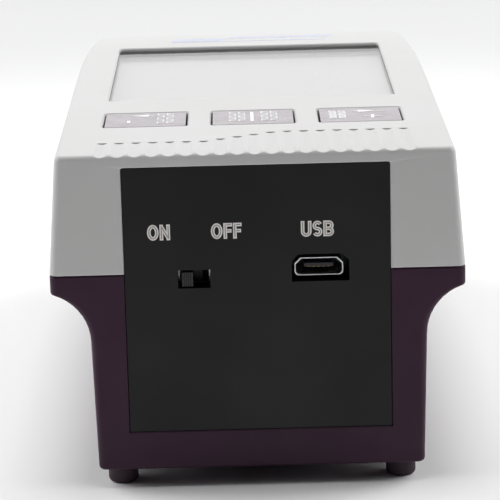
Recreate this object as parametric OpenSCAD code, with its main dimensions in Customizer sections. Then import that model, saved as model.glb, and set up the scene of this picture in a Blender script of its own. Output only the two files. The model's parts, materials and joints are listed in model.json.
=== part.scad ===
// Compact lens transmittance meter.
// A light upper casing and a dark waisted lower casing hold a display, three keys, a power
// switch and a charging socket. A throat through the nose takes the lens to be measured, with
// light sources in the jaw above it and photodiodes in the jaw below it.
// x runs across, y from the rear face to the nose, z up from a level just above the underside.
// The finished part stands on its feet with its middle over the origin.

/* [Casing] */
// Length from the rear face to the nose
body_len = 150; // [148:1:154]
// Width across the parting lip
lip_w = 68.2; // [67.5:0.1:69]
// Width across the top face at the rear
top_w = 65; // [64:0.1:66]
// Width across the waist, below the shoulders
waist_w = 55.5; // [55:0.1:56]
// Width across the underside
base_w = 54.5; // [54:0.1:55]
// Height of the top face
body_h = 53.45; // [53.4:0.05:54]
// Height of the parting line between the two casings
split_z = 33.4; // [33.2:0.1:33.6]
// Height at which the shoulders start to curve outwards
waist_z = 21.7; // [21.5:0.1:22.2]
// Radius of the hollow under each shoulder
shoulder_r = 8.8; // [8.6:0.1:9]
// Distance from the rear at which the sides start to close in towards the nose
nose_start = 60; // [55:1:65]
// Distance from the rear at which the top face starts to fall towards the nose
slope_start = 97; // [94:1:98]
// Radius of the falling top face
slope_r = 127; // [125:1:150]
// Depth of the underside below the level that heights are measured from
sole = 0.4; // [0.2:0.1:0.6]
// Thickness of the side walls and, above that level, of the floor
wall = 2.2; // [2:0.1:2.3]
// Thickness of the top face
roof = 1.8; // [1.7:0.05:1.9]
// Radius of the edge around the top face
edge_r = 0.9; // [0.8:0.1:1.4]

/* [Display] */
// Width of the window opening
window_w = 51.2; // [50:0.1:51.4]
// Length of the window opening
window_len = 51.4; // [50:0.1:51.6]
// Distance of the window's middle from the rear
window_y = 69.35; // [69:0.05:69.6]
// Depth of the clear window below the top face
window_depth = 0.65; // [0.6:0.05:0.7]

/* [Keys] */
// Width of a key
key_w = 13.8; // [13:0.1:14.4]
// Length of a key
key_len = 11.1; // [10:0.1:11.2]
// Distance between the middles of two keys
key_pitch = 18.4; // [18:0.1:18.8]
// Distance of the keys' middle from the rear
key_y = 27.2; // [27:0.1:27.4]
// How far a key moves when it is pressed
key_travel = 0.4; // [0.3:0.05:0.4]

/* [Grip grooves] */
// Number of grooves across the rear edge
groove_count = 19; // [9:2:21]
// Distance between two grooves
groove_pitch = 2.785; // [2.4:0.005:2.8]
// Depth of a groove at the rear edge
groove_depth = 0.4; // [0.2:0.05:0.6]
// Length of the long grooves on the right
groove_long = 15.3; // [12:0.1:18]
// Length of the short grooves on the left
groove_short = 9.2; // [8:0.1:12]

/* [Rear panel] */
// Width of the rear panel
panel_w = 43.5; // [43:0.1:44]
// Height of the panel's lower edge
panel_low = 6.3; // [6:0.1:6.5]
// Height of the panel's upper edge
panel_high = 51.2; // [51:0.1:51.4]
// Travel of the power switch between on and off
switch_travel = 2.2; // [2:0.1:2.3]
// Distance of the charging socket to the right of the middle
socket_x = 10.05; // [9.5:0.05:10.5]

/* [Throat] */
// Height of the throat's floor
throat_z = 17; // [16.8:0.1:17.2]
// Clear height of the throat
throat_gap = 12.6; // [12:0.1:12.6]
// Depth of the throat from the nose
throat_depth = 38; // [37:1:40]
// Distance of the light path from the rear
axis_y = 126; // [126:0.5:127]

/* [Feet] */
// Diameter of a foot
foot_d = 5; // [4:0.1:5.2]
// Height of a foot below the casing
foot_h = 3.2; // [2:0.1:4]

/* [Hidden] */
$fn = 64;
eps = 0.01;
fit = 0.05;             // gap around a piece that sits in its own seat
lip_r = 0.5;            // rounding of the parting lip
seam_r = 0.25;          // soft edges on both sides of the parting line
corner_r = 1.3;         // rounding of the casing's upright rear corners
nose_steps = 20;        // points along each side of the nose
nose_power = 2 / 3;     // squareness of the nose seen from above
nose_rake = 0.45;       // how far the nose leans back for each millimetre of waist

base_r = 0.6;           // rounding around the underside

glass_t = 0.8;
glass_top = body_h - window_depth;
seat = glass_top - (body_h - roof);     // depth of the window's seat above the ceiling
gasket_t = 0.3;
lcd_t = 1.8;

board_t = 1.6;
board_top = 45;
board_low = board_top - board_t;
thin_board_t = 1.2;

key_top = body_h - 0.05;
key_gap = [0.3, 0.2];   // beside a key, and before and behind it
flange_top = body_h - roof - fit;
flange_t = 0.9;
stem_low = board_top + 4.3;
plunger_low = board_top + 2.9;
tact_h = 3.4;

panel_gap = 0.1;
panel_face = 0.15;      // how far the panel's face lies behind the rear face
flange_y = 3.4;
io_y = 7.2;             // rear face of the small board behind the panel
io_front = io_y + board_t;

switch_z = 32.2;
switch_x = -10.4;       // middle of the switch
knob_x = switch_x - switch_travel / 2;
socket_z = 33.87;

throat_top = throat_z + throat_gap;
throat_y = body_len - throat_depth;
plate = [30, 20, 1.2];
light_hole = [24, 15];
optic_d = 11;
tube_d = 13.6;
bore_d = 9.6;
led_board_z = throat_top + wall + 5.85;
sensor_board_top = throat_z - wall - 5.85;
optic_board = [31, 18];
optic_screw_x = 13.5;

battery = [34, 46, 9];
battery_y = 69;
pad_t = 0.8;

case_posts = [for (x = [-19, 19], y = [37.6, 104]) [x, y]];
board_posts = [for (x = [-26, 26], y = [16, 100]) [x, y]];
io_posts = [-15.5, 15.5];
io_screw_z = 27.5;
post_seat = 26;         // height at which the case screws' heads stop
foot_seat = 0.4;        // height of the pockets that the feet are let into

// The ribbons' routes, as distances from the rear and heights
io_route = [[11.8, 37], [13.2, 37], [14.8, 38.2], [16, 40], [16, 41.4]];
battery_route = [[46, 8], [44.6, 8], [43, 10], [43, 36], [44, 39.6], [44, 41.4]];
sensor_route = [[117, 8.4], [112, 8.4], [106, 9.5], [102, 14], [99, 30], [98, 39], [98, 41.4]];
emitter_route = [[117, 38.1], [108, 38.1], [101, 38.6], [98, 40], [98, 41.4]];
display_route = [[96.6, 50.9], [98, 50.9], [99.2, 50.2], [99.5, 49.2], [99.5, 46.2]];

light_grey = [0.85, 0.85, 0.86];
dark_purple = [0.19, 0.13, 0.18];
near_black = [0.09, 0.09, 0.1];
circuit_green = [0.1, 0.35, 0.2];
steel = [0.72, 0.73, 0.75];
gold = [0.83, 0.68, 0.3];
ribbon_grey = [0.55, 0.56, 0.6];

// ---------------------------------------------------------------- helpers

// Points along an arc from angle a to angle b
function arc(centre, r, a, b, steps = 6) =
    [for (i = [0:steps]) let (t = a + (b - a) * i / steps) centre + r * [cos(t), sin(t)]];

// Corner points of a rectangle with rounded corners
function round_rect(size, r) = [
    for (q = [0:3]) each arc([(q % 3 == 0 ? 1 : -1) * (size.x / 2 - r),
                              (q < 2 ? 1 : -1) * (size.y / 2 - r)], r, 90 * q, 90 * q + 90)
];

// Solid between two outlines with the same number of points, the first one lower
module between(low, z_low, high, z_high) {
    n = len(low);
    polyhedron(
        concat([for (p = low) [p.x, p.y, z_low]], [for (p = high) [p.x, p.y, z_high]]),
        concat([[for (i = [0:n - 1]) i], [for (i = [n - 1:-1:0]) n + i]],
               [for (i = [0:n - 1]) let (j = (i + 1) % n) [i, n + i, n + j, j]])
    );
}

// Box that is centred across and along, and stands at a given height
module block(size, at) translate(at - [size.x / 2, size.y / 2, 0]) cube(size);

// Upright cylinder with its foot at a given point
module post(d, h, at) translate(at) cylinder(d = d, h = h);

// Prism of an outline in the x-z plane, from y = near to y = far
module upright(near, far) translate([0, far, 0]) rotate([90, 0, 0]) linear_extrude(far - near) children();

function unit(v) = v / norm(v);
function heading(path, i) =
    i == 0 ? unit(path[1] - path[0])
    : i == len(path) - 1 ? unit(path[i] - path[i - 1])
    : unit(unit(path[i + 1] - path[i]) + unit(path[i] - path[i - 1]));
function beside(path, gap) =
    [for (i = [0:len(path) - 1]) let (h = heading(path, i)) path[i] + gap * [-h.y, h.x]];

// Flat cable along a route in the y-z plane
module ribbon(path, width, x, t = 0.5) {
    back = beside(path, -t / 2);
    translate([x - width / 2, 0, 0]) rotate([90, 0, 90]) linear_extrude(width)
        polygon(concat(beside(path, t / 2), [for (i = [len(path) - 1:-1:0]) back[i]]));
}

// Screw standing on its head's seat, with a cross recess
module screw(shank_d, shank_len, head_d, head_h) {
    cylinder(d = shank_d, h = shank_len);
    translate([0, 0, -head_h]) difference() {
        cylinder(d = head_d, h = head_h);
        for (turn = [0, 90]) rotate(turn)
            block([head_d * 0.6, head_d * 0.16, head_h * 0.55], [0, 0, -eps]);
    }
}

// ---------------------------------------------------------------- casing shape

// Height of the top face at a distance from the rear
function top_z(y) =
    y < slope_start ? body_h : body_h - slope_r + sqrt(slope_r ^ 2 - (y - slope_start) ^ 2);

// Outline seen from above: rounded rear corner, straight side, blunt nose, and its mirror image
function outline(half, inset) =
    let (
        h = half - inset,
        r = max(corner_r - inset, 0.3),
        tip = body_len - (lip_w / 2 - half) * nose_rake - inset,
        side = concat(
            arc([h - r, inset + r], r, -90, 0, 4),
            [for (i = [0:nose_steps - 1]) let (a = 90 * i / nose_steps)
                [h * cos(a) ^ nose_power, nose_start + (tip - nose_start) * sin(a) ^ nose_power]]
        )
    )
    concat(side, [[0, tip]], [for (i = [len(side) - 1:-1:0]) [-side[i].x, side[i].y]]);

// Solid through a stack of rings. A ring is [half-width, inset, height, share of the nose's fall].
module loft(rings) {
    n = len(outline(rings[0][0], rings[0][1]));
    m = (n - 1) / 2;
    last = n * (len(rings) - 1);
    points = [for (ring = rings) for (p = outline(ring[0], ring[1]))
        [p.x, p.y, ring[2] + ring[3] * (top_z(p.y) - body_h)]];
    sides = [for (k = [0:len(rings) - 2], i = [0:n - 1])
        let (j = (i + 1) % n, a = k * n + i, b = a + n, c = k * n + n + j, d = k * n + j)
        each [[a, b, c], [a, c, d]]];
    strips = concat([for (i = [0:m - 2]) [i, i + 1, n - 2 - i, n - 1 - i]], [[m - 1, m, m + 1]]);
    lid = [for (s = strips) [for (i = [len(s) - 1:-1:0]) s[i] + last]];
    polyhedron(points, concat(sides, strips, lid));
}

function upper_half(z) = (lip_w - (z - split_z) * (lip_w - top_w) / (body_h - split_z)) / 2;
function lower_half(z) = (base_w + z * (waist_w - base_w) / waist_z) / 2;

shoulder_x = waist_w / 2 + shoulder_r;
lip_x = lip_w / 2 - lip_r;
shoulder_turn = acos((shoulder_x - lip_x) / (shoulder_r + lip_r));
lip_z = waist_z + (shoulder_r + lip_r) * sin(shoulder_turn);
inner_half = lip_w / 2 - wall;
inner_turn = acos((shoulder_x - inner_half) / (shoulder_r + wall));

upper_outer = concat(
    [for (a = [0:30:90]) [lip_w / 2, seam_r * (1 - sin(a)), split_z + seam_r * (1 - cos(a)), 0]],
    [for (a = [0:22.5:90]) let (z = body_h - edge_r + edge_r * sin(a))
        [upper_half(z), edge_r * (1 - cos(a)), z, 1]]
);
upper_inner = [
    [lip_w / 2, wall, split_z - 1, 0],
    [lip_w / 2, wall, split_z, 0],
    [upper_half(body_h - roof), wall, body_h - roof, 1]
];
lower_outer = concat(
    [for (a = [0:22.5:90]) let (z = base_r * (1 - cos(a)) - sole)
        [lower_half(z), base_r * (1 - sin(a)), z, 0]],
    [for (a = [0:shoulder_turn / 9:shoulder_turn + eps])
        [shoulder_x - shoulder_r * cos(a), 0, waist_z + shoulder_r * sin(a), 0]],
    [for (i = [1:4]) let (a = -shoulder_turn * (1 - i / 4))
        [lip_x + lip_r * cos(a), 0, lip_z + lip_r * sin(a), 0]],
    [[lip_w / 2, 0, split_z - seam_r, 0], [lip_w / 2, seam_r, split_z, 0]]
);
lower_inner = concat(
    [[lower_half(wall), wall, wall, 0]],
    [for (a = [0:inner_turn / 8:inner_turn + eps])
        [shoulder_x - (shoulder_r + wall) * cos(a) + wall, wall,
         waist_z + (shoulder_r + wall) * sin(a), 0]],
    [[lip_w / 2, wall, split_z + 1, 0]]
);

// Rear panel's outline, in the x-z plane, grown by a gap. Only its upper corners are round.
function panel_outline(gap) =
    let (h = panel_w / 2 + gap, low = panel_low - gap, high = panel_high + gap, r = 0.4)
    concat([[-h, low], [h, low]], arc([h - r, high - r], r, 0, 90), arc([-h + r, high - r], r, 90, 180));

// Opening for the rear panel, with a fine chamfer at the rear face
module panel_opening() {
    chamfer = 0.15;
    upright(-1, wall + 1) polygon(panel_outline(panel_gap));
    rotate([90, 0, 0]) between(panel_outline(panel_gap), -chamfer, panel_outline(panel_gap + chamfer), eps);
}

// Profile of the throat in the y-z plane, open at the nose
module throat() {
    r = 3;
    rotate([90, 0, 90]) linear_extrude(lip_w + 10, center = true)
        polygon(concat(
            [[body_len + 5, throat_top]],
            arc([throat_y + r, throat_top - r], r, 90, 180),
            arc([throat_y + r, throat_z + r], r, 180, 270),
            [[body_len + 5, throat_z]]
        ));
}

// ---------------------------------------------------------------- casing

module key_opening(side) translate([side * key_pitch, key_y, 0]) {
    open = [key_w, key_len] + 2 * key_gap;
    chamfer = 0.3;
    grow = [2 * chamfer, 2 * chamfer];
    translate([0, 0, body_h - roof - 1]) linear_extrude(roof + 2) polygon(round_rect(open, 0.6));
    between(round_rect(open, 0.6), body_h - chamfer,
            round_rect(open + grow, 0.6 + chamfer), body_h + eps);
}

module window_opening() translate([0, window_y, 0]) {
    open = [window_w, window_len];
    chamfer = 0.25;
    grow = [2 * chamfer, 2 * chamfer];
    translate([0, 0, body_h - roof - 1]) linear_extrude(roof + 2) polygon(round_rect(open, 0.8));
    between(round_rect(open, 0.8), body_h - chamfer,
            round_rect(open + grow, 0.8 + chamfer), body_h + eps);
    block([window_w + 4.2, window_len + 4.2, 1 + seat], [0, 0, body_h - roof - 1]);
}

// Length of one groove: short ones on the left, then a slanting step to the long ones
function groove_len(i) =
    min(groove_long, groove_short + 1.42 * max(0, i - floor(groove_count / 3)));

// Each groove runs deeper and wider towards the rear edge, and has an upright far end
module grooves() {
    r = 2;
    far_depth = 0.2;
    for (i = [0:groove_count - 1]) {
        len = groove_len(i);
        fall = atan((groove_depth - far_depth) / len);
        translate([(i - (groove_count - 1) / 2) * groove_pitch, len, body_h + r - far_depth])
            rotate([90 + fall, 0, 0]) cylinder(r = r, h = len + 1);
    }
}

module top_shell() color(light_grey) difference() {
    union() {
        difference() {
            loft(upper_outer);
            loft(upper_inner);
        }
        for (p = case_posts) post(7, top_z(p.y) - roof - split_z + 0.5, [p.x, p.y, split_z]);
        for (p = board_posts) post(4.6, top_z(p.y) - roof - board_top + 0.5, [p.x, p.y, board_top]);
    }
    for (p = case_posts) post(2.84, 12.6, [p.x, p.y, split_z - eps]);
    for (p = board_posts) post(1.94, 5.6, [p.x, p.y, board_top - eps]);
    for (side = [-1:1]) key_opening(side);
    window_opening();
    grooves();
    panel_opening();
}

// Small walls that hold the battery sideways
module battery_ribs() {
    for (side = [-1, 1], y = [-14, 14])
        block([1.2, 10, 6], [side * (battery.x / 2 + 0.9), battery_y + y, wall - eps]);
    for (end = [-1, 1])
        block([14, 1.2, 4], [0, battery_y + end * (battery.y / 2 + 0.9), wall - eps]);
}

// Pocket for an optical plate in a jaw, with the light hole through the jaw behind it
module plate_seat(face, into) {
    play = [0.3, 0.3, 1];
    translate([0, axis_y, face]) mirror([0, 0, into < 0 ? 1 : 0]) {
        block(plate + play, [0, 0, -1]);
        block([light_hole.x, light_hole.y, wall + 2], [0, 0, -1]);
        for (side = [-1, 1]) post(1.64, 7.2, [side * optic_screw_x, 0, -eps]);
    }
}

// Space that the throat's frame takes up, grown by a gap
module frame_room(gap) translate([-lip_w, throat_y - wall - gap, throat_z - wall - gap])
    cube([2 * lip_w, body_len, body_h]);

module bottom_shell() color(dark_purple) difference() {
    union() {
        difference() {
            loft(lower_outer);
            loft(lower_inner);
        }
        for (p = case_posts) post(9, split_z - 1, [p.x, p.y, 1]);
        for (x = io_posts) block([6, 5, 30], [x, io_front + 2.5, 1]);
        battery_ribs();
    }
    frame_room(fit);
    for (p = case_posts) {
        post(6, post_seat + 1, [p.x, p.y, -1]);
        post(3.2, split_z, [p.x, p.y, 1]);
    }
    for (x = io_posts) translate([x, io_front - eps, io_screw_z])
        rotate([-90, 0, 0]) cylinder(d = 1.94, h = 4.4);
    for (p = feet) post(foot_d + 0.2, foot_seat + 1, [p.x, p.y, -1]);
    panel_opening();
}

// Frame of the throat: both jaws and the wall behind it, flush with the lower casing
module throat_frame() color(dark_purple) difference() {
    boss = [5, 5.8];
    union() {
        difference() {
            intersection() {
                loft(lower_outer);
                frame_room(0);
            }
            intersection() {
                loft(lower_inner);
                translate([-lip_w, throat_y, throat_top + wall]) cube([2 * lip_w, body_len, body_h]);
            }
        }
        for (side = [-1, 1]) {
            post(boss.x, boss.y + eps, [side * optic_screw_x, axis_y, throat_top + wall - eps]);
            post(boss.x, boss.y + eps, [side * optic_screw_x, axis_y, throat_z - wall - boss.y]);
        }
    }
    throat();
    plate_seat(throat_top, 1);
    plate_seat(throat_z, -1);
}

module rear_panel() color(near_black) difference() {
    union() {
        upright(panel_face, wall + eps) polygon(panel_outline(0));
        block([panel_w + 3.9, flange_y - wall, panel_high - panel_low + 2],
              [0, (wall + flange_y) / 2, panel_low - 2]);
    }
    // window over the switch
    block([5.3, 8, 3.1], [switch_x, 2, switch_z - 1.4]);
    // window over the socket, narrower at the top
    upright(-1, flange_y + 1) translate([socket_x + 0.25, socket_z]) polygon([
        [-4.7, -2.37], [4.7, -2.37], [4.7, 1.1], [3.6, 2.23], [-3.6, 2.23], [-4.7, 1.1]
    ]);
}

// ---------------------------------------------------------------- display

module display_window() color([0.8, 0.84, 0.86, 0.4])
    block([window_w + 3.8, window_len + 3.8, glass_t], [0, window_y, glass_top - glass_t]);

module display_gasket() color(near_black) difference() {
    z = glass_top - glass_t - gasket_t;
    block([window_w + 3.8, window_len + 3.8, gasket_t], [0, window_y, z]);
    block([window_w + 0.4, window_len + 0.4, 2], [0, window_y, z - 0.5]);
}

lcd_low = glass_top - glass_t - gasket_t - lcd_t;

module lcd_panel() color([0.75, 0.77, 0.76])
    block([window_w + 2.8, window_len + 3.1, lcd_t], [0, window_y, lcd_low]);

module backlight() color("white")
    block([window_w, window_len + 1, lcd_low - board_top], [0, window_y, board_top]);

module lcd_flex() color([0.75, 0.45, 0.15]) ribbon(display_route, 20, 0, 0.3);

// ---------------------------------------------------------------- main board

module main_board() color(circuit_green) difference() {
    block([57, 91, board_t], [0, 57.5, board_low]);
    for (p = case_posts) post(9, 4, [p.x, p.y, board_low - 1]);
    for (p = board_posts) post(2.4, 4, [p.x, p.y, board_low - 1]);
}

module board_chips() color([0.12, 0.12, 0.13]) {
    block([10, 10, 1.2], [0, 60, board_low - 1.2]);
    block([6, 5, 1.1], [-14, 55, board_low - 1.1]);
    block([5, 4, 1.1], [14, 66, board_low - 1.1]);
    block([7, 4.4, 1.6], [-13, 72, board_low - 1.6]);
    block([3.2, 2.5, 0.9], [0, 70, board_low - 0.9]);
    for (i = [0:5]) block([1.6, 0.8, 0.8], [-10 + 4 * i, 78, board_low - 0.8]);
    for (i = [0:3]) block([0.8, 1.6, 0.8], [9 + 2.4 * i, 56, board_low - 0.8]);
}

module board_connectors() color([0.9, 0.89, 0.84]) {
    block([10, 4, 2], [0, 16, board_low - 2]);          // switch and socket
    block([6, 4, 2], [-8, 44, board_low - 2]);          // battery
    block([8, 4, 2], [-6, 98, board_low - 2]);          // light sources
    block([8, 4, 2], [8, 98, board_low - 2]);           // photodiodes
    block([22, 2.4, 1.2], [0, 99.5, board_top]);        // display
    block([10, 3, 3], [0, io_front + 1.5, 35.5]);       // on the board behind the panel
}

module buzzer() color([0.15, 0.15, 0.16]) difference() {
    post(9, 4, [18, 82, board_low - 4]);
    post(1.6, 1, [18, 82, board_low - 4 - eps]);
}

// ---------------------------------------------------------------- keys

module key(side) color([0.36, 0.28, 0.35]) translate([side * key_pitch, key_y, 0]) {
    flange_low = flange_top - flange_t;
    translate([0, 0, flange_top - eps]) linear_extrude(key_top - flange_top + eps)
        polygon(round_rect([key_w, key_len], 0.5));
    block([key_w + 2.3, key_len + 1.9, flange_t], [0, 0, flange_low]);
    post(4.4, flange_low - stem_low + eps, [0, 0, stem_low]);
}

module plunger(side) color([0.1, 0.1, 0.1])
    post(3.4, stem_low - plunger_low, [side * key_pitch, key_y, plunger_low]);

module key_switches() color([0.2, 0.2, 0.21]) for (side = [-1:1])
    translate([side * key_pitch, key_y, 0]) difference() {
        block([6, 6, tact_h], [0, 0, board_top]);
        post(3.7, 3, [0, 0, plunger_low - key_travel - 0.3]);
    }

// ---------------------------------------------------------------- switch and socket

module io_board() color(circuit_green) difference() {
    translate([-19, io_y, 24]) cube([38, board_t, 18]);
    for (x = io_posts) translate([x, io_y - 1, io_screw_z]) rotate([-90, 0, 0]) cylinder(d = 2.4, h = 4);
    for (i = [-1:1]) translate([switch_x + 2.5 * i, io_y - 1, switch_z]) rotate([-90, 0, 0])
        cylinder(d = 0.9, h = 4);
}

// The switch's can is open towards the board and slotted for the knob
module switch_can() color(steel) difference() {
    can = [9, 3.2, 4.2];
    t = 0.3;
    block(can, [switch_x, io_y - can.y / 2, switch_z - can.z / 2]);
    block([can.x - 2 * t, can.y, can.z - 2 * t],
          [switch_x, io_y - can.y / 2 + t, switch_z - can.z / 2 + t]);
    block([switch_travel + 2.6, 2, 2.8], [switch_x, io_y - can.y, switch_z - 1.4]);
}

module switch_base() color([0.45, 0.3, 0.15])
    block([8.3, 0.7, 3.5], [switch_x, io_y - 0.35, switch_z - 1.75]);

module switch_terminals() color(gold) for (i = [-1:1])
    translate([switch_x + 2.5 * i, io_y, switch_z]) rotate([-90, 0, 0]) cylinder(d = 0.8, h = 2.6);

// The knob's face is ribbed and lies just behind the panel's face
module switch_slider() color([0.08, 0.08, 0.09]) {
    knob = [1.8, 4.1, 2.4];
    face = 0.35;
    block([5, 1, 3.2], [knob_x, 4.9, switch_z - 1.6]);
    difference() {
        block([knob.x, knob.y, knob.z], [knob_x, face + knob.y / 2, switch_z - 1.15]);
        for (x = [-0.54, -0.18, 0.18, 0.54]) block([0.16, 0.5, 3], [knob_x + x, face, switch_z - 1.5]);
    }
}

module switch_contact() color(gold) block([4.4, 0.5, 1.4], [knob_x, 5.65, switch_z - 0.7]);

// Outline of the socket: upper corners cut off, lower corners round, grown by a margin
function socket_outline(grow) =
    let (w = 3.75 + grow, h = 1.275 + grow, cut = 0.95, r = 0.7)
    concat(arc([-w + r, -h + r], r, 180, 270, 3), arc([w - r, -h + r], r, -90, 0, 3),
           [[w, h - cut], [w - cut, h], [-w + cut, h], [-w, h - cut]]);

// Sheet metal shell with a flared mouth
module usb_shell() color(steel) translate([socket_x, 0, socket_z]) {
    mouth = 0.8;
    throat = 1.9;
    sheet = 0.2;
    flare = 0.26;
    difference() {
        union() {
            upright(throat - eps, io_y) polygon(socket_outline(0));
            rotate([90, 0, 0]) between(socket_outline(0), -throat, socket_outline(flare), -mouth);
        }
        upright(throat - eps, io_y - 0.3) polygon(socket_outline(-sheet));
        rotate([90, 0, 0])
            between(socket_outline(-sheet), -throat, socket_outline(flare - sheet), eps - mouth);
    }
}

module usb_insert() color([0.06, 0.06, 0.07]) translate([socket_x, 0, socket_z]) {
    upright(5.4, io_y - 0.3) polygon(socket_outline(-0.25));
    block([4.8, 3.6, 0.6], [0, 3.7, -0.35]);
}

module usb_contacts() color(gold) for (i = [-2:2])
    block([0.35, 3, 0.12], [socket_x + 0.8 * i, 3.7, socket_z - 0.47]);

// ---------------------------------------------------------------- battery

module battery() color([0.55, 0.6, 0.66]) translate([0, battery_y, wall + pad_t])
    linear_extrude(battery.z) polygon(round_rect([battery.x, battery.y], 1.5));

module battery_pad() color([0.2, 0.2, 0.2]) block([30, 40, pad_t], [0, battery_y, wall]);

module battery_lead() color([0.7, 0.1, 0.1]) ribbon(battery_route, 4, -8, 1.2);

// ---------------------------------------------------------------- optics

// Black plate flush with a jaw, with a stepped hole for its window
module optic_plate() difference() {
    lip = 0.3;
    block(plate, [0, 0, 0]);
    post(bore_d, plate.z + 2, [0, 0, -1]);
    post(optic_d + 0.1, plate.z, [0, 0, lip]);
    for (side = [-1, 1]) {
        post(3.2, 1.9, [side * optic_screw_x, 0, -1]);
        post(1.9, plate.z + 1, [side * optic_screw_x, 0, -0.5]);
    }
}

module optic_screws() for (side = [-1, 1])
    translate([side * optic_screw_x, 0, 0.9]) screw(1.6, 5.6, 3, 0.8);

module at_emitter() translate([0, axis_y, throat_top]) children();
module at_sensor() translate([0, axis_y, throat_z]) mirror([0, 0, 1]) children();

module emitter_plate() color(near_black) at_emitter() optic_plate();
module sensor_plate() color(near_black) at_sensor() optic_plate();
module emitter_window() color([0.85, 0.9, 0.92, 0.5]) at_emitter() post(optic_d, 0.9, [0, 0, 0.3]);
module sensor_window() color([0.85, 0.9, 0.92, 0.5]) at_sensor() post(optic_d, 0.9, [0, 0, 0.3]);
module emitter_screws() color(steel) at_emitter() optic_screws();
module sensor_screws() color(steel) at_sensor() optic_screws();

barrel_z = throat_top + plate.z;
barrel_lip = barrel_z + 1.1;

module emitter_barrel() color(near_black) difference() {
    post(tube_d, led_board_z - barrel_z, [0, axis_y, barrel_z]);
    post(bore_d, barrel_lip - barrel_z + 1, [0, axis_y, barrel_z - 1]);
    post(7.6, 4, [0, axis_y, barrel_lip - 1]);
    post(bore_d, 8, [0, axis_y, barrel_lip + 0.8]);
}

// Plano-convex lens, flat side down
module condenser_lens() color([0.8, 0.9, 1, 0.5]) translate([0, axis_y, barrel_z + 0.1]) {
    crown = 1.7;
    r = 10;
    intersection() {
        cylinder(d = 9.5, h = crown + 1);
        translate([0, 0, crown - r]) sphere(r = r);
    }
}

module diffuser() color([0.95, 0.95, 0.95]) post(9.5, 0.5, [0, axis_y, barrel_lip + 0.8]);

// Small board of the optics, with a clear hole over each boss
module optic_board(z) difference() {
    block([optic_board.x, optic_board.y, thin_board_t], [0, axis_y, z]);
    for (side = [-1, 1]) post(2, 3, [side * optic_screw_x, axis_y, z - 1]);
}

module led_board() color(circuit_green) optic_board(led_board_z);
module sensor_board() color(circuit_green) optic_board(sensor_board_top - thin_board_t);

// Three places around the light path
function around(i) = [0, axis_y, 0] + 2.7 * [cos(120 * i + 90), sin(120 * i + 90), 0];

// Domed lamp that hangs under its board
module led(i) {
    h = 2.4;
    translate(around(i) + [0, 0, led_board_z - h]) {
        cylinder(d = 3, h = h);
        sphere(d = 3);
    }
}

module uv_led() color([0.6, 0.4, 0.9]) led(0);
module visible_led() color([0.95, 0.95, 0.8]) led(1);
module infrared_led() color([0.25, 0.1, 0.15]) led(2);

module sensor_holder() color(near_black) difference() {
    h = throat_z - plate.z - sensor_board_top;
    post(tube_d, h, [0, axis_y, sensor_board_top]);
    for (i = [0:2]) post(3.1, h + 2, around(i) + [0, 0, sensor_board_top - 1]);
}

module filters() color([0.4, 0.5, 0.9, 0.6])
    for (i = [0:2]) post(3, 0.8, around(i) + [0, 0, sensor_board_top + 2.6]);

module photodiodes() color([0.3, 0.3, 0.35])
    for (i = [0:2]) block([2, 2, 1.2], around(i) + [0, 0, sensor_board_top]);

// ---------------------------------------------------------------- cables

module emitter_cable() color(ribbon_grey) ribbon(emitter_route, 6, -6);
module sensor_cable() color(ribbon_grey) ribbon(sensor_route, 6, 8);
module io_cable() color(ribbon_grey) ribbon(io_route, 8, 0);

// ---------------------------------------------------------------- fasteners

module case_screws() color(steel) for (p = case_posts)
    translate([p.x, p.y, post_seat]) screw(2.8, 18, 5.6, 2.2);

module board_screws() color(steel) for (p = board_posts)
    translate([p.x, p.y, board_low]) screw(1.9, 6.4, 4, 1.5);

module io_board_screws() color(steel) for (x = io_posts)
    translate([x, io_y, io_screw_z]) rotate([-90, 0, 0]) screw(1.9, 5.4, 4, 1.4);

// ---------------------------------------------------------------- feet

feet = [[-23.4, 4.5], [23.4, 4.5], [-18, 125], [18, 125]];

// Foot with a rounded lower edge, let into the underside
module foot(i) color(dark_purple) translate([feet[i].x, feet[i].y, -sole - foot_h]) {
    r = foot_d / 2;
    soft = 0.7;
    top = foot_h + sole + foot_seat;
    rotate_extrude() polygon(concat([[0, 0]], arc([r - soft, soft], soft, -90, 0, 4), [[r, top], [0, top]]));
}

// ---------------------------------------------------------------- assembly

module place() translate([0, -body_len / 2, foot_h + sole]) children();

place() top_shell();
place() bottom_shell();
place() throat_frame();
place() rear_panel();
place() display_window();
place() display_gasket();
place() lcd_panel();
place() backlight();
place() lcd_flex();
place() main_board();
place() board_chips();
place() board_connectors();
place() buzzer();
place() key(-1);  // key_left
place() key(0);  // key_middle
place() key(1);  // key_right
place() plunger(-1);  // plunger_left
place() plunger(0);  // plunger_middle
place() plunger(1);  // plunger_right
place() key_switches();
place() io_board();
place() switch_can();
place() switch_base();
place() switch_terminals();
place() switch_slider();
place() switch_contact();
place() usb_shell();
place() usb_insert();
place() usb_contacts();
place() battery();
place() battery_pad();
place() battery_lead();
place() emitter_plate();
place() emitter_window();
place() emitter_barrel();
place() condenser_lens();
place() diffuser();
place() led_board();
place() uv_led();
place() visible_led();
place() infrared_led();
place() sensor_plate();
place() sensor_window();
place() sensor_holder();
place() filters();
place() photodiodes();
place() sensor_board();
place() emitter_cable();
place() sensor_cable();
place() io_cable();
place() case_screws();
place() board_screws();
place() io_board_screws();
place() emitter_screws();
place() sensor_screws();
place() foot(0);  // foot_rear_left
place() foot(1);  // foot_rear_right
place() foot(2);  // foot_front_left
place() foot(3);  // foot_front_right
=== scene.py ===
"""Looks of a compact lens transmittance meter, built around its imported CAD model.

All lengths are in metres, in the CAD model's frame: +Y runs from the switch end to the nose,
+Z up, and the meter stands on z = 0.
"""

import json
import math

import bmesh
import bpy
from mathutils import Matrix, Vector


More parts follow.
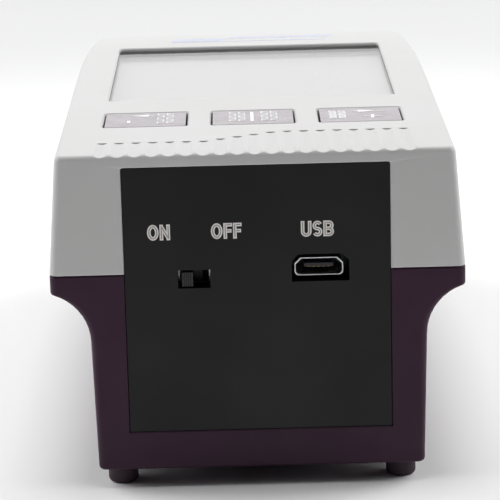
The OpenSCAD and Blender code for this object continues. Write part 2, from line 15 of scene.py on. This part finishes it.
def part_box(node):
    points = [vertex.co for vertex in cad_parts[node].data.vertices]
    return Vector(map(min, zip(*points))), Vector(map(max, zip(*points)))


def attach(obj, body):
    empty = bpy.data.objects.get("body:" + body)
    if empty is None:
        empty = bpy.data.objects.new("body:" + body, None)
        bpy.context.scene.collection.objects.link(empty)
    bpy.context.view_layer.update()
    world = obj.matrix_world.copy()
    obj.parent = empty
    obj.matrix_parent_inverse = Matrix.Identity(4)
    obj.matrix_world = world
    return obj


MM = 0.001

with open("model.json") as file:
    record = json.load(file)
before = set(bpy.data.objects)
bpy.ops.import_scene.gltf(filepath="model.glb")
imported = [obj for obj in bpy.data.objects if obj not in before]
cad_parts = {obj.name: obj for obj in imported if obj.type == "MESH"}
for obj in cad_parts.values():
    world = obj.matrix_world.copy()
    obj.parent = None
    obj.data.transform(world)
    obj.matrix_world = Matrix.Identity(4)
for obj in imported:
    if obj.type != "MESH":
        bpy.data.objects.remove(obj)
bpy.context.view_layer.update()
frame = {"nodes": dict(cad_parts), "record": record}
nodes = frame["nodes"]

shell_low, shell_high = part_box("top_shell")
REAR_Y = shell_low.y
TOP_Z = shell_high.z
PANEL_FACE_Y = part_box("rear_panel")[0].y


# ---------------------------------------------------------------- camera, light and floor

def add_camera():
    """A long lens behind and above the switch end, rolled a little to one side."""
    data = bpy.data.cameras.new("camera")
    data.lens = 180
    data.sensor_width = 36
    camera = bpy.data.objects.new("camera", data)
    bpy.context.scene.collection.objects.link(camera)
    behind, above, aside = 393.6 * MM, 89.55 * MM, -2.6 * MM
    pitch, yaw, roll = math.radians(74.94), math.radians(-0.21), math.radians(-1.43)
    turn = Matrix.Rotation(yaw, 4, "Z") @ Matrix.Rotation(pitch, 4, "X") @ Matrix.Rotation(roll, 4, "Z")
    camera.matrix_world = Matrix.Translation((aside, REAR_Y - behind, TOP_Z + above)) @ turn
    bpy.context.scene.camera = camera


def add_area_light(name, place, target, size, radiance):
    """A rectangular light that shows the given radiance and points at the target."""
    data = bpy.data.lights.new(name, "AREA")
    data.shape = "RECTANGLE"
    data.size, data.size_y = size
    data.energy = radiance * math.pi * size[0] * size[1]
    light = bpy.data.objects.new(name, data)
    bpy.context.scene.collection.objects.link(light)
    light.location = place
    light.rotation_euler = (Vector(target) - Vector(place)).to_track_quat("-Z", "Y").to_euler()
    light.visible_camera = False


def add_world(radiance):
    """An even white surround."""
    world = bpy.data.worlds.new("studio")
    world.use_nodes = True
    background = world.node_tree.nodes["Background"]
    background.inputs["Color"].default_value = (1, 1, 1, 1)
    background.inputs["Strength"].default_value = radiance
    bpy.context.scene.world = world


def add_studio():
    """Soft white light: from overhead, from both sides, and from a card that the top face mirrors."""
    add_world(0.04)
    add_area_light("overhead", (0, -0.02, 1.3), (0, -0.02, 0), (0.45, 0.45), 10.2)
    add_area_light("high_back", (0, 0.9, 0.9), (0, 0.1, 0), (1.6, 0.8), 0.25)
    add_area_light("far_card", (0, 1.5, 0.37), (0, 0, 0.05), (1.0, 0.6), 1.3)
    for side in (-1, 1):
        add_area_light(f"high_{side}", (side * 0.8, 0.4, 0.8), (0, 0, 0), (0.7, 0.7), 4.5)
        add_area_light(f"low_{side}", (side * 0.8, 0.1, 0.3), (0, 0, 0.03), (0.7, 0.4), 3.2)


def link_object(name, mesh):
    """Puts a mesh into the scene under a name."""
    thing = bpy.data.objects.new(name, mesh)
    bpy.context.scene.collection.objects.link(thing)
    return thing


def add_floor(look):
    """A square of pale paper that the meter stands on."""
    half = 4.0
    corners = [(-half, -half, 0), (half, -half, 0), (half, half, 0), (-half, half, 0)]
    mesh = bpy.data.meshes.new("floor")
    mesh.from_pydata(corners, [], [(0, 1, 2, 3)])
    floor = link_object("floor", mesh)
    mesh.materials.append(look.material)


# ---------------------------------------------------------------- materials

class Look:
    """A material of one Principled shader, and the few nodes that vary it over the surface."""

    def __init__(self, name, colour, roughness, **fixed):
        self.material = bpy.data.materials.new(name)
        self.material.use_nodes = True
        self.tree = self.material.node_tree
        self.shader = self.tree.nodes["Principled BSDF"]
        self.colour = (*colour, 1)
        self.shader.inputs["Base Color"].default_value = self.colour
        self.shader.inputs["Roughness"].default_value = roughness
        for socket, value in fixed.items():
            self.shader.inputs[socket.replace("_", " ")].default_value = value
        self.place = self.node("ShaderNodeTexCoord").outputs["Object"]
        self.normal = None

    def node(self, kind, **settings):
        made = self.tree.nodes.new(kind)
        for key, value in settings.items():
            setattr(made, key, value)
        return made

    def link(self, output, target):
        self.tree.links.new(output, target)

    def noise(self, grain, detail=2.0, stretch=None):
        """Noise whose features are about grain metres across, or stretched along one axis."""
        texture = self.node("ShaderNodeTexNoise")
        texture.inputs["Scale"].default_value = 1 / grain
        texture.inputs["Detail"].default_value = detail
        source = self.place
        if stretch:
            mapping = self.node("ShaderNodeMapping")
            mapping.inputs["Scale"].default_value = stretch
            self.link(source, mapping.inputs["Vector"])
            source = mapping.outputs["Vector"]
        self.link(source, texture.inputs["Vector"])
        return texture.outputs["Fac"]

    def ramp(self, value, low, high):
        """Spreads the middle of a noise over the range from low to high."""
        spread = self.node("ShaderNodeMapRange")
        spread.inputs["From Min"].default_value = 0.3
        spread.inputs["From Max"].default_value = 0.7
        spread.inputs["To Min"].default_value = low
        spread.inputs["To Max"].default_value = high
        self.link(value, spread.inputs["Value"])
        return spread.outputs["Result"]

    def mottle(self, grain, other):
        """Drifts the base colour towards another one, in patches."""
        mix = self.node("ShaderNodeMix", data_type="RGBA")
        mix.inputs["A"].default_value = self.colour
        mix.inputs["B"].default_value = (*other, 1)
        self.link(self.ramp(self.noise(grain), 0.0, 1.0), mix.inputs["Factor"])
        self.link(mix.outputs["Result"], self.shader.inputs["Base Color"])
        return self

    def paint_light_and_shade_by_distance(self, near, far, colour):
        """Turns the base colour into another one between two distances from the origin: painted light and
        shade that changes with the distance.
        """
        length = self.node("ShaderNodeVectorMath", operation="LENGTH")
        self.link(self.place, length.inputs[0])
        share = self.node("ShaderNodeMapRange", interpolation_type="SMOOTHSTEP")
        share.inputs["From Min"].default_value = near
        share.inputs["From Max"].default_value = far
        self.link(length.outputs["Value"], share.inputs["Value"])
        mix = self.node("ShaderNodeMix", data_type="RGBA")
        mix.inputs["A"].default_value = self.colour
        mix.inputs["B"].default_value = (*colour, 1)
        self.link(share.outputs["Result"], mix.inputs["Factor"])
        self.link(mix.outputs["Result"], self.shader.inputs["Base Color"])
        return self

    def vary_roughness(self, grain, low, high, stretch=None):
        """Drifts the roughness between two values, in patches."""
        self.link(self.ramp(self.noise(grain, stretch=stretch), low, high), self.shader.inputs["Roughness"])
        return self

    def round_edges(self, radius):
        """Shades the edges as if they were rounded, and leaves the shape as it is."""
        bevel = self.node("ShaderNodeBevel", samples=6)
        bevel.inputs["Radius"].default_value = radius
        self.set_normal(bevel.outputs["Normal"])
        return self

    def bump(self, grain, depth, strength=1.0, detail=2.0, stretch=None):
        """Adds a fine relief of the given depth."""
        bump = self.node("ShaderNodeBump")
        bump.inputs["Strength"].default_value = strength
        bump.inputs["Distance"].default_value = depth
        self.link(self.noise(grain, detail, stretch), bump.inputs["Height"])
        if self.normal:
            self.link(self.normal, bump.inputs["Normal"])
        self.set_normal(bump.outputs["Normal"])
        return self

    def set_normal(self, output):
        self.normal = output
        self.link(output, self.shader.inputs["Normal"])


def clear_glass(name, tint):
    """Clear flat glass: what lies behind shows through, with a mirror layer on top."""
    ior, roughness = 1.5, 0.03
    look = Look(name, tint, roughness)
    tree = look.tree
    out = tree.nodes["Material Output"]
    through = look.node("ShaderNodeBsdfTransparent")
    through.inputs["Color"].default_value = (*tint, 1)
    gloss = look.node("ShaderNodeBsdfGlossy")
    gloss.inputs["Roughness"].default_value = roughness
    # Schlick's rule, which holds for both sides of the sheet
    facing = look.node("ShaderNodeLayerWeight")
    facing.inputs["Blend"].default_value = 0.5
    steep = look.node("ShaderNodeMath", operation="POWER")
    steep.inputs[1].default_value = 5
    look.link(facing.outputs["Facing"], steep.inputs[0])
    straight_on = ((ior - 1) / (ior + 1)) ** 2
    share = look.node("ShaderNodeMapRange")
    share.inputs["To Min"].default_value = straight_on
    look.link(steep.outputs["Value"], share.inputs["Value"])
    mix = look.node("ShaderNodeMixShader")
    look.link(share.outputs["Result"], mix.inputs["Fac"])
    look.link(through.outputs["BSDF"], mix.inputs[1])
    look.link(gloss.outputs["BSDF"], mix.inputs[2])
    look.link(mix.outputs["Shader"], out.inputs["Surface"])
    tree.nodes.remove(look.shader)
    return look


LACQUER = {"Coat_Weight": 0.8, "Coat_Roughness": 0.12, "Coat_IOR": 1.45}


def add_casing_looks(looks):
    """Shells, rear panel and feet."""
    looks["light_shell"] = (
        Look("light_abs", (0.645, 0.645, 0.645), 0.66, Specular_IOR_Level=0.1)
        .mottle(28 * MM, (0.63, 0.626, 0.622)).vary_roughness(6 * MM, 0.62, 0.72)
        .round_edges(0.2 * MM).bump(0.28 * MM, 0.006 * MM, 0.6, detail=3.0)
    )
    looks["dark_shell"] = (
        Look("purple_abs", (0.040, 0.0125, 0.033), 0.48, Specular_IOR_Level=0.22)
        .mottle(22 * MM, (0.034, 0.011, 0.028)).vary_roughness(5 * MM, 0.44, 0.56)
        .round_edges(0.25 * MM).bump(0.28 * MM, 0.008 * MM, 0.7, detail=3.0)
    )
    looks["panel_black"] = (
        Look("black_panel", (0.0075, 0.0075, 0.009), 0.4, Specular_IOR_Level=0.22)
        .mottle(16 * MM, (0.0115, 0.0115, 0.013)).vary_roughness(9 * MM, 0.36, 0.46)
        .bump(0.4 * MM, 0.004 * MM, 0.5)
    )
    looks["foot_rubber"] = Look("foot_rubber", (0.045, 0.024, 0.038), 0.6, Specular_IOR_Level=0.3) \
        .mottle(3 * MM, (0.035, 0.018, 0.03)).bump(0.25 * MM, 0.01 * MM)


def add_display_and_key_looks(looks):
    """Glass, display and keys."""
    looks["clear_window"] = clear_glass("window_glass", (0.97, 0.965, 0.97))
    looks["optic_glass"] = clear_glass("optic_glass", (0.93, 0.97, 0.96))
    looks["filter_blue"] = clear_glass("filter_glass", (0.25, 0.35, 0.8))
    looks["display_grey"] = (
        Look("liquid_crystal", (0.56, 0.555, 0.55), 0.35)
        .mottle(20 * MM, (0.55, 0.545, 0.54)).bump(0.3 * MM, 0.002 * MM, 0.4)
    )
    looks["foam_black"] = Look("foam", (0.02, 0.02, 0.02), 0.9).mottle(1 * MM, (0.035, 0.035, 0.035)) \
        .bump(0.5 * MM, 0.1 * MM)
    looks["diffuser_white"] = Look("white_diffuser", (0.85, 0.85, 0.83), 0.6) \
        .mottle(8 * MM, (0.8, 0.8, 0.77)).bump(0.4 * MM, 0.01 * MM)
    looks["key_purple"] = (
        Look("key_lacquer", (0.115, 0.075, 0.105), 0.3, **LACQUER)
        .mottle(4 * MM, (0.10, 0.065, 0.09)).vary_roughness(3 * MM, 0.26, 0.36)
        .bump(0.35 * MM, 0.003 * MM, 0.5)
    )


def add_electronics_looks(looks):
    """Boards, small parts, metals, wires and lamps."""
    looks["black_plastic"] = Look("black_plastic", (0.014, 0.014, 0.016), 0.45) \
        .mottle(4 * MM, (0.02, 0.02, 0.022)).round_edges(0.06 * MM).bump(0.2 * MM, 0.004 * MM)
    looks["board_green"] = Look("solder_mask", (0.02, 0.11, 0.05), 0.35) \
        .mottle(5 * MM, (0.015, 0.08, 0.035)).bump(0.6 * MM, 0.01 * MM)
    looks["chip_black"] = Look("chip_resin", (0.02, 0.02, 0.022), 0.55) \
        .mottle(2 * MM, (0.03, 0.03, 0.03)).bump(0.15 * MM, 0.004 * MM)
    looks["connector_ivory"] = Look("connector_resin", (0.75, 0.72, 0.62), 0.5) \
        .mottle(3 * MM, (0.7, 0.66, 0.55)).bump(0.2 * MM, 0.004 * MM)
    looks["steel"] = (
        Look("nickel_steel", (0.58, 0.58, 0.59), 0.3, Metallic=1.0)
        .mottle(2 * MM, (0.5, 0.5, 0.51)).vary_roughness(0.8 * MM, 0.24, 0.42, stretch=(1, 6, 6))
        .round_edges(0.05 * MM)
    )
    looks["contact_gold"] = Look("gold_contact", (0.83, 0.6, 0.25), 0.25, Metallic=1.0) \
        .mottle(1 * MM, (0.75, 0.5, 0.2)).vary_roughness(0.5 * MM, 0.2, 0.35)
    looks["phenolic_brown"] = Look("phenolic", (0.13, 0.06, 0.02), 0.6) \
        .mottle(1.5 * MM, (0.09, 0.04, 0.015)).bump(0.3 * MM, 0.01 * MM)
    looks["battery_wrap"] = Look("cell_foil", (0.42, 0.45, 0.48), 0.35, Metallic=0.6) \
        .mottle(9 * MM, (0.36, 0.39, 0.42)).bump(2.5 * MM, 0.08 * MM)
    looks["lead_red"] = Look("lead_insulation", (0.45, 0.02, 0.02), 0.45) \
        .mottle(3 * MM, (0.38, 0.015, 0.015)).bump(0.4 * MM, 0.01 * MM)
    looks["ribbon_grey"] = Look("flat_cable", (0.35, 0.36, 0.38), 0.5) \
        .mottle(4 * MM, (0.3, 0.31, 0.33)).bump(0.8 * MM, 0.05 * MM, stretch=(4, 0.3, 0.3))
    looks["flex_amber"] = Look("polyimide", (0.5, 0.2, 0.03), 0.25) \
        .mottle(2 * MM, (0.42, 0.15, 0.02)).bump(0.6 * MM, 0.01 * MM)
    looks["lamp_violet"] = Look("lamp_violet", (0.35, 0.18, 0.6), 0.12).mottle(1 * MM, (0.4, 0.22, 0.66))
    looks["lamp_white"] = Look("lamp_white", (0.85, 0.85, 0.7), 0.12).mottle(1 * MM, (0.8, 0.8, 0.6))
    looks["lamp_dark"] = Look("lamp_dark", (0.07, 0.02, 0.03), 0.12).mottle(1 * MM, (0.1, 0.03, 0.04))


def add_print_looks(looks):
    """Inks of the printed pieces."""
    looks["print_grey"] = Look("print_grey", (0.92, 0.88, 0.85), 0.5) \
        .mottle(0.8 * MM, (0.85, 0.82, 0.8)).bump(0.1 * MM, 0.002 * MM)
    looks["print_core"] = Look("print_core", (0.12, 0.115, 0.11), 0.5).mottle(0.5 * MM, (0.16, 0.155, 0.15))
    looks["print_white"] = Look("print_white", (0.8, 0.79, 0.8), 0.4, **LACQUER) \
        .mottle(0.8 * MM, (0.74, 0.73, 0.74)).bump(0.35 * MM, 0.002 * MM)
    looks["print_blue"] = Look("print_blue", (0.52, 0.55, 0.72), 0.6) \
        .mottle(1.2 * MM, (0.6, 0.62, 0.72)).bump(0.1 * MM, 0.002 * MM)


def floor_look():
    """White paper with painted light and shade: whiter near the meter, where the meter shades it, and
    painted greyer further away, where it gets the most light.
    """
    near, far = 0.1, 0.36
    # The paper's colour carries painted light and shade: white near the meter, painted darker grey far away.
    return Look("floor_paper", (0.97, 0.97, 0.97), 0.9, Specular_IOR_Level=0.0) \
        .paint_light_and_shade_by_distance(near, far, (0.66, 0.66, 0.665)).bump(1.2 * MM, 0.01 * MM, 0.3)


def make_looks():
    """One look for each material slot of the record, and those of the printed pieces."""
    looks = {}
    add_casing_looks(looks)
    add_display_and_key_looks(looks)
    add_electronics_looks(looks)
    add_print_looks(looks)
    return looks


# ---------------------------------------------------------------- CAD nodes

def shading_group(limit_deg):
    """Geometry nodes that join the mesh's seams and shade every edge below a limit smooth."""
    group = bpy.data.node_groups.new("smooth_below_limit", "GeometryNodeTree")
    group.interface.new_socket("Geometry", in_out="INPUT", socket_type="NodeSocketGeometry")
    group.interface.new_socket("Geometry", in_out="OUTPUT", socket_type="NodeSocketGeometry")
    start = group.nodes.new("NodeGroupInput")
    end = group.nodes.new("NodeGroupOutput")
    merge = group.nodes.new("GeometryNodeMergeByDistance")
    merge.inputs["Distance"].default_value = 0.001 * MM
    normal = group.nodes.new("GeometryNodeSetMeshNormal")
    normal.mode = "SHARPNESS"
    angle = group.nodes.new("GeometryNodeInputMeshEdgeAngle")
    above = group.nodes.new("FunctionNodeCompare")
    above.operation = "GREATER_THAN"
    above.inputs["B"].default_value = math.radians(limit_deg)
    group.links.new(angle.outputs["Unsigned Angle"], above.inputs["A"])
    group.links.new(start.outputs["Geometry"], merge.inputs["Geometry"])
    group.links.new(merge.outputs["Geometry"], normal.inputs["Mesh"])
    group.links.new(above.outputs["Result"], normal.inputs["Edge Sharpness"])
    group.links.new(normal.outputs["Mesh"], end.inputs["Geometry"])
    return group


def dress_cad_nodes(looks):
    """Gives every CAD node its material, smooth shading and, where it shows, soft edges."""
    slots = {part["node"]: part["material_slot"] for part in frame["record"]["subparts"]}
    soft_edges = {
        "rear_panel": 0.2 * MM, "key_left": 0.08 * MM, "key_middle": 0.08 * MM, "key_right": 0.08 * MM,
        "usb_shell": 0.05 * MM, "switch_slider": 0.04 * MM, "emitter_plate": 0.12 * MM,
        "sensor_plate": 0.12 * MM, "display_window": 0.1 * MM,
    }
    smooth_below_deg, bevel_above_deg = 38, 50
    group = shading_group(smooth_below_deg)
    for name, node in nodes.items():
        node.data.materials.clear()
        node.data.materials.append(looks[slots[name]].material)
        modifier = node.modifiers.new("shading", "NODES")
        modifier.node_group = group
        if name in soft_edges:
            bevel = node.modifiers.new("soft_edges", "BEVEL")
            bevel.width = soft_edges[name]
            bevel.segments = 3
            bevel.limit_method = "ANGLE"
            bevel.angle_limit = math.radians(bevel_above_deg)
        weighted = node.modifiers.new("weighted_normals", "WEIGHTED_NORMAL")
        weighted.keep_sharp = True


# ---------------------------------------------------------------- printed pieces

def arc(centre, radii, start, end, steps=14):
    """Points of an elliptic arc, angles in degrees."""
    turn = [math.radians(start + (end - start) * i / steps) for i in range(steps + 1)]
    return [(centre[0] + radii[0] * math.cos(t), centre[1] + radii[1] * math.sin(t)) for t in turn]


def unit(a, b):
    """Direction from one point to another."""
    length = math.hypot(b[0] - a[0], b[1] - a[1])
    return (b[0] - a[0]) / length, (b[1] - a[1]) / length


def stroke_sides(points, width, closed):
    """Left and right side of a stroke along a line, mitred at its corners."""
    left, right = [], []
    count = len(points)
    for i, here in enumerate(points):
        before = points[(i - 1) % count] if closed or i else None
        after = points[(i + 1) % count] if closed or i < count - 1 else None
        a = unit(before, here) if before else unit(here, after)
        b = unit(here, after) if after else a
        mx, my = a[0] + b[0], a[1] + b[1]
        scale = 2 / (mx * mx + my * my)
        nx, ny = -my * scale * width / 2, mx * scale * width / 2
        left.append((here[0] + nx, here[1] + ny))
        right.append((here[0] - nx, here[1] - ny))
    return left, right


class Print:
    """Thin printed strokes on a flat face. u and v are the face's own axes."""

    def __init__(self, name, origin, u, v, look, body, thickness=0.03 * MM, lift=0.0):
        self.name, self.look, self.body = name, look, body
        self.origin, self.u, self.v = Vector(origin), Vector(u), Vector(v)
        self.out = self.u.cross(self.v)
        self.thickness, self.lift = thickness, lift
        self.mesh = bmesh.new()
        self.count = 0

    def point(self, p, height):
        """A corner of the mesh at a place on the face and a height above it."""
        return self.mesh.verts.new(self.origin + self.u * p[0] + self.v * p[1] + self.out * height)

    def next_top(self):
        """Height of the next stroke. Neighbours differ by a hair, so that none share a face."""
        self.count += 1
        return self.lift + self.thickness + self.count % 5 * 0.002 * MM

    def prism(self, outline):
        """A closed prism over an outline."""
        top = self.next_top()
        low = [self.point(p, self.lift) for p in outline]
        high = [self.point(p, top) for p in outline]
        self.mesh.faces.new(list(reversed(low)))
        self.mesh.faces.new(high)
        for i in range(len(outline)):
            j = (i + 1) % len(outline)
            self.mesh.faces.new((low[i], low[j], high[j], high[i]))

    def ring(self, outer, inner):
        """A closed prism between two outlines with the same number of points."""
        top = self.next_top()
        rows = [[self.point(p, h) for p in line] for line in (outer, inner) for h in (self.lift, top)]
        outer_low, outer_high, inner_low, inner_high = rows
        for i in range(len(outer)):
            j = (i + 1) % len(outer)
            self.mesh.faces.new((outer_low[i], outer_low[j], outer_high[j], outer_high[i]))
            self.mesh.faces.new((outer_high[i], outer_high[j], inner_high[j], inner_high[i]))
            self.mesh.faces.new((inner_high[i], inner_high[j], inner_low[j], inner_low[i]))
            self.mesh.faces.new((inner_low[i], inner_low[j], outer_low[j], outer_low[i]))

    def stroke(self, points, width, closed=False):
        """A closed band along a line, built of quads only."""
        left, right = stroke_sides(points, width, closed)
        if closed:
            self.ring(right, left)
            return
        top = self.next_top()
        rows = [[self.point(p, h) for p in line] for line in (left, right) for h in (self.lift, top)]
        left_low, left_high, right_low, right_high = rows
        for i in range(len(points) - 1):
            j = i + 1
            self.mesh.faces.new((left_low[i], left_low[j], left_high[j], left_high[i]))
            self.mesh.faces.new((left_high[i], left_high[j], right_high[j], right_high[i]))
            self.mesh.faces.new((right_high[i], right_high[j], right_low[j], right_low[i]))
            self.mesh.faces.new((right_low[i], right_low[j], left_low[j], left_low[i]))
        for i in (0, -1):
            self.mesh.faces.new((left_low[i], left_high[i], right_high[i], right_low[i]))

    def finish(self):
        """Turns the strokes into one piece that rides on its body."""
        bmesh.ops.recalc_face_normals(self.mesh, faces=self.mesh.faces)
        data = bpy.data.meshes.new(self.name)
        self.mesh.to_mesh(data)
        self.mesh.free()
        data.materials.append(self.look.material)
        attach(link_object(self.name, data), self.body)


def letter(shape, w, h, s):
    """Centre lines of a letter w wide and h high, for a stroke s wide. Each is (points, closed)."""
    left, right, low, high = s / 2, w - s / 2, s / 2, h - s / 2
    mid = h / 2
    if shape == "O":
        return [(arc((w / 2, mid), (w / 2 - s / 2, mid - s / 2), 0, 360, 32)[:-1], True)]
    if shape == "N":
        return [([(left, 0), (left, h)], False), ([(right, 0), (right, h)], False),
                ([(left * 0.9, h - s * 0.45), (w - left * 0.9, s * 0.45)], False)]
    if shape == "F":
        return [([(left, 0), (left, h)], False), ([(left, high), (w, high)], False),
                ([(left, mid), (w * 0.93, mid)], False)]
    if shape == "U":
        turn = (right - left) / 2
        bowl = arc((w / 2, low + turn), (turn, turn), 180, 360)
        return [([(left, h)] + bowl + [(right, h)], False)]
    if shape == "S":
        ry = (high - low) / 4
        rx = (right - left) / 2
        upper = arc((w / 2, mid + ry), (rx, ry), 25, 270)
        lower = arc((w / 2, mid - ry), (rx, ry), 90, -155)
        return [(upper + lower[1:], False)]
    if shape == "B":
        ry = (high - low) / 4
        upper = [(left, high)] + arc((right - ry, mid + ry), (ry * 0.9, ry), 90, -90) + [(left, mid)]
        lower = [(left, mid)] + arc((right - ry, mid - ry), (ry, ry), 90, -90) + [(left, low)]
        return [([(left, 0), (left, h)], False), (upper, False), (lower, False)]
    raise ValueError(shape)


def trimmed(points, cut):
    """The same line, shorter by cut at both ends."""
    a, b = unit(points[0], points[1]), unit(points[-1], points[-2])
    first = (points[0][0] + a[0] * cut, points[0][1] + a[1] * cut)
    last = (points[-1][0] + b[0] * cut, points[-1][1] + b[1] * cut)
    return [first] + points[1:-1] + [last]


def add_panel_word(word, widths, left, base, looks):
    """A word on the rear panel: pale letters with a dark line along the middle of each stroke."""
    height, stroke, gap = 2.65 * MM, 0.6 * MM, 0.14 * MM
    core = 0.1 * MM
    face = (left, PANEL_FACE_Y, base)
    pale = Print(f"print_{word.lower()}", face, (1, 0, 0), (0, 0, 1), looks["print_grey"], "root", 0.02 * MM)
    dark = Print(f"print_{word.lower()}_core", face, (1, 0, 0), (0, 0, 1), looks["print_core"], "root",
                 0.015 * MM, lift=0.03 * MM)
    x = 0.0
    for shape, width in zip(word, widths):
        for points, closed in letter(shape, width, height, stroke):
            placed = [(x + p[0], p[1]) for p in points]
            pale.stroke(placed, stroke, closed)
            dark.stroke(placed if closed else trimmed(placed, stroke * 0.38), core, closed)
        x += width + gap
    pale.finish()
    dark.finish()


def add_panel_words(looks):
    """The words over the switch and the socket, in letters of one height."""
    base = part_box("rear_panel")[1].z - 12.15 * MM
    add_panel_word("ON", (1.9 * MM, 1.72 * MM), -17.85 * MM, base, looks)
    add_panel_word("OFF", (1.9 * MM, 1.42 * MM, 1.42 * MM), -7.45 * MM, base, looks)
    add_panel_word("USB", (1.75 * MM, 1.62 * MM, 1.75 * MM), 7.2 * MM, base, looks)


def add_key_prints(looks):
    """Plain pictograms on the keys: dashes for a word, arrows, minus, plus and a bar."""
    thin, bold = 0.34 * MM, 0.55 * MM

    def start(side):
        low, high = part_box(f"key_{side}")
        origin = ((low.x + high.x) / 2, (low.y + high.y) / 2, high.z)
        return Print(f"print_key_{side}", origin, (1, 0, 0), (0, 1, 0), looks["print_white"], f"key_{side}",
                     0.02 * MM)

    def dashes(sheet, x, low, high):
        """Two columns of small combs, which stand for a two-line word read from the side."""
        step = (high - low) / 5
        for column in (x - 0.8 * MM, x + 0.8 * MM):
            for i in range(5):
                a, b = low + step * (i + 0.1), low + step * (i + 0.8)
                back = column + 0.5 * MM * (1 if i % 2 else -1)
                for y in (a, (a + b) / 2, b):
                    sheet.stroke([(column - 0.6 * MM, y), (column + 0.6 * MM, y)], 0.3 * MM)
                sheet.stroke([(back, a), (back, b)], 0.28 * MM)

    def arrow(sheet, x_tail, x_tip, y):
        """A thin line with its head halfway along."""
        middle = (x_tail + x_tip) / 2
        head = 1.7 * MM * (1 if x_tip > x_tail else -1)
        sheet.stroke([(x_tail, y), (x_tip, y)], thin)
        sides = [(middle + head, y), (middle - head, y + 0.9 * MM), (middle - head, y - 0.9 * MM)]
        sheet.prism(sides if head < 0 else sides[::-1])

    left = start("left")
    arrow(left, 1.4 * MM, -4.0 * MM, 3.3 * MM)
    left.stroke([(-2.9 * MM, -2.4 * MM), (-2.9 * MM, -0.4 * MM)], bold)
    dashes(left, 3.35 * MM, -3.3 * MM, 5.0 * MM)
    left.finish()

    middle = start("middle")
    dashes(middle, -2.7 * MM, -3.1 * MM, 4.6 * MM)
    middle.stroke([(-0.15 * MM, -3.2 * MM), (-0.15 * MM, 4.4 * MM)], bold)
    dashes(middle, 2.8 * MM, -3.1 * MM, 4.6 * MM)
    middle.finish()

    right = start("right")
    dashes(right, -3.85 * MM, -2.6 * MM, 3.6 * MM)
    arrow(right, -1.3 * MM, 4.3 * MM, 2.9 * MM)
    right.stroke([(0.4 * MM, -1.6 * MM), (3.8 * MM, -1.6 * MM)], thin)
    right.stroke([(2.1 * MM, -3.0 * MM), (2.1 * MM, -0.2 * MM)], bold)
    right.finish()


def add_nose_mark(looks):
    """A plain blue band across the nose: a row of leaning bars over a thin line."""
    top = nodes["top_shell"]
    half, near, far = 15.5 * MM, REAR_Y + 101.5 * MM, REAR_Y + 108 * MM
    deep = far - near
    thickness = 0.03 * MM
    bars, near_bars, bar_width = 15, 5, 1.45 * MM
    lean = 0.35
    sheet = bmesh.new()

    def surface(x, y):
        """Height of the top face."""
        found, spot, _normal, _face = top.ray_cast(Vector((x, y, TOP_Z + 0.05)), Vector((0, 0, -1)))
        return spot.z if found else TOP_Z

    def patch(x_low, x_high, y_low, y_high, columns=2, rows=4):
        """A thin leaning bar that follows the surface."""
        grid = {}
        for level in (0, 1):
            for i in range(columns + 1):
                for j in range(rows + 1):
                    y = y_low + (y_high - y_low) * j / rows
                    x = x_low + (x_high - x_low) * i / columns + lean * (y - near)
                    height = surface(x, y) + (thickness if level else -thickness)
                    grid[level, i, j] = sheet.verts.new((x, y, height))
        for i in range(columns):
            for j in range(rows):
                for level in (0, 1):
                    sheet.faces.new([grid[level, i + a, j + b] for a, b in ((0, 0), (1, 0), (1, 1), (0, 1))])
        rim = [(i, 0) for i in range(columns)] + [(columns, j) for j in range(rows)] \
            + [(i, rows) for i in range(columns, 0, -1)] + [(0, j) for j in range(rows, 0, -1)]
        for (ai, aj), (bi, bj) in zip(rim, rim[1:] + rim[:1]):
            sheet.faces.new([grid[0, ai, aj], grid[0, bi, bj], grid[1, bi, bj], grid[1, ai, aj]])

    for k in range(bars):
        x = -half + 2 * half * k / bars
        low = near if k < near_bars else near + deep * 0.45
        high = near + deep * 0.62 if k < near_bars else far
        patch(x, x + bar_width, low, high)
    patch(-half * 0.97, half, near - deep * 0.18, near - deep * 0.06, columns=24, rows=1)
    bmesh.ops.recalc_face_normals(sheet, faces=sheet.faces)
    data = bpy.data.meshes.new("nose_mark")
    sheet.to_mesh(data)
    sheet.free()
    data.materials.append(looks["print_blue"].material)
    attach(link_object("nose_mark", data), "root")


# ---------------------------------------------------------------- scene

def main():
    """Sets up the studio, then dresses and prints the meter."""
    view = bpy.context.scene.view_settings
    view.view_transform = "Standard"
    view.look = "None"
    looks = make_looks()
    add_camera()
    add_studio()
    add_floor(floor_look())
    dress_cad_nodes(looks)
    add_panel_words(looks)
    add_key_prints(looks)
    add_nose_mark(looks)


main()
